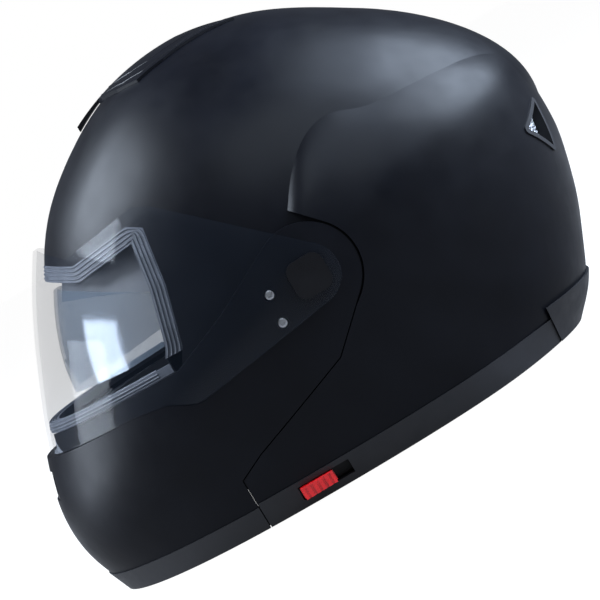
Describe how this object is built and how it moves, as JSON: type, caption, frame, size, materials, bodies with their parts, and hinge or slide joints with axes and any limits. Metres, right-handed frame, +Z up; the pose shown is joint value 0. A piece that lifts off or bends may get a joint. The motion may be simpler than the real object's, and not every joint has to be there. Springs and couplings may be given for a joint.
{
  "type": "modular motorcycle helmet",
  "caption": "Modular motorcycle helmet whose chin bar flips up to an open face, with a clear shield, inner sun visor, vents, padding and a ratchet chin strap.",
  "frame": {"origin": "middle of the base plane that the helmet stands on", "axes": "+Z up, the face looks along -Y, the wearer's left is +X"},
  "size_m": [0.2604, 0.3558, 0.2537],
  "materials": {
    "shell_matte": "matte painted, fine orange peel",
    "edge_trim": "satin black rubber",
    "silver_mesh": "perforated mesh",
    "gasket": "grey rubber, ribbed",
    "grey_rim": "matte grey rim",
    "clear_shield": "clear polycarbonate",
    "smoke_lens": "smoke tinted",
    "gloss_black": "semi-gloss black",
    "steel": "zinc plated",
    "black_foam": "expanded bead foam",
    "pad_fabric": "knitted mesh with piping",
    "red_plastic": "gloss red",
    "webbing": "woven webbing"
  },
  "bodies": {
    "shell": {"base_trim": "edge_trim", "brow_seal": "gasket", "buckle_receiver": "gloss_black", "buckle_tongue": "gloss_black", "cheek_block_left": "black_foam", "cheek_block_right": "black_foam", "cheek_pad_left": "pad_fabric", "cheek_pad_right": "pad_fabric", "crown_pad": "pad_fabric", "exhaust_frame_left": "edge_trim", "exhaust_frame_right": "edge_trim", "exhaust_mesh_left": "silver_mesh", "exhaust_mesh_right": "silver_mesh", "forehead_vent_cover": "shell_matte", "hinge_nuts": "steel", "hinge_pins": "steel", "hinge_washers": "gloss_black", "impact_liner": "black_foam", "nape_trim": "edge_trim", "neck_roll": "pad_fabric", "outer_shell": "shell_matte", "slider_track": "gloss_black", "strap_anchors": "steel", "strap_keeper": "edge_trim", "strap_left": "webbing", "strap_right": "webbing", "strap_rivets": "steel", "striker_pins": "steel", "striker_plates": "gloss_black", "sun_visor_cable": "steel", "sun_visor_pins": "steel", "visor_bracket_left": "gloss_black", "visor_bracket_right": "gloss_black"},
    "chin_bar": {"chin_bar": "shell_matte", "chin_bar_trim": "edge_trim", "chin_bar_liner": "grey_rim", "chin_bar_seal": "gasket", "arm_screws": "steel", "chin_curtain": "pad_fabric", "chin_vent_grille": "gloss_black", "release_spring": "steel", "catch_cable": "steel", "catch_pins": "steel"},
    "shield": {"face_shield": "clear_shield", "hub_cap_left": "gloss_black", "hub_cap_right": "gloss_black"},
    "sun_visor": {"sun_visor": "smoke_lens"},
    "visor_slider": {"visor_slider": "red_plastic"},
    "forehead_slider": {"forehead_vent_slider": "gloss_black"},
    "chin_shutter": {"chin_vent_shutter": "gloss_black"},
    "release_button": {"release_button": "gloss_black"},
    "catch_hooks": {"catch_hook_left": "steel", "catch_hook_right": "steel"},
    "buckle_lever": {"buckle_lever": "red_plastic"}
  },
  "joints": [
    {"name": "chin_bar_flip", "type": "hinge", "parent": "shell", "child": "chin_bar", "pos_m": [0, 0.01, 0.1065], "axis": [-1, 0, 0], "range_deg": [0, 75]},
    {"name": "shield_open", "type": "hinge", "parent": "chin_bar", "child": "shield", "pos_m": [0, 0.01, 0.1065], "axis": [1, 0, 0], "range_deg": [-45, 0]},
    {"name": "sun_visor_swing", "type": "hinge", "parent": "shell", "child": "sun_visor", "pos_m": [0, 0.015, 0.088], "axis": [-1, 0, 0], "range_deg": [0, 32]},
    {"name": "visor_slider_slide", "type": "slide", "parent": "shell", "child": "visor_slider", "axis": [0, 1, 0], "range_m": [0, 0.009]},
    {"name": "forehead_vent_slide", "type": "slide", "parent": "shell", "child": "forehead_slider", "axis": [0, 0.9272, 0.3746], "range_m": [0, 0.006]},
    {"name": "chin_vent_slide", "type": "slide", "parent": "chin_bar", "child": "chin_shutter", "axis": [0, 0, 1], "range_m": [0, 0.006]},
    {"name": "release_button_press", "type": "slide", "parent": "chin_bar", "child": "release_button", "axis": [0, 0, 1], "range_m": [0, 0.003], "deforming": ["release_spring"]},
    {"name": "catch_release", "type": "hinge", "parent": "chin_bar", "child": "catch_hooks", "pos_m": [0, -0.096, 0.03], "axis": [1, 0, 0], "range_deg": [0, 8], "stiffness_Nm_per_rad": 0.06, "springref_deg": -11.46},
    {"name": "buckle_lever_lift", "type": "hinge", "parent": "shell", "child": "buckle_lever", "pos_m": [0.0195, -0.008, 0.0104], "axis": [0, 1, 0], "range_deg": [0, 40], "stiffness_Nm_per_rad": 0.02, "springref_deg": -11.46}
  ],
  "couplings": [
    {"joint": "visor_slider_slide", "follows": "sun_visor_swing", "m_per_rad": 0.0161},
    {"joint": "release_button_press", "follows": "catch_release", "m_per_rad": 0.02148}
  ]
}
